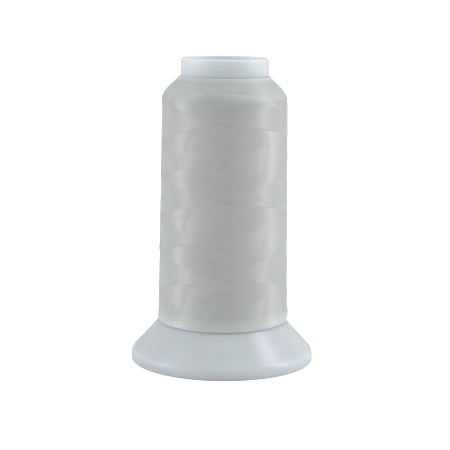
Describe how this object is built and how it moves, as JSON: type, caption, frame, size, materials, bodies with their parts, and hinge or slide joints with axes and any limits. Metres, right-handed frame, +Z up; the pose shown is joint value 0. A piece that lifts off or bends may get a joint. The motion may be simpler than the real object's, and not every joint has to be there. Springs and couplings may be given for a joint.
{
  "type": "cone of thread",
  "caption": "Cone of fine off-white thread, cross-wound on a hollow translucent plastic cone with a plain neck above and a flared round foot below.",
  "frame": {"origin": "middle of the round foot, at the level of the surface it stands on", "axes": "+Z up along the cone's axis from foot to neck, -Y towards the front of the picture's view, +X to its right"},
  "size_m": [0.0664, 0.0664, 0.11],
  "materials": {
    "moulded_plastic": "satin, slightly clouded natural white polypropylene",
    "wound_thread": "satin off-white fine polyester thread, cross-wound"
  },
  "bodies": {
    "root": {"plastic_cone": "moulded_plastic", "thread_winding": "wound_thread"}
  },
  "joints": []
}
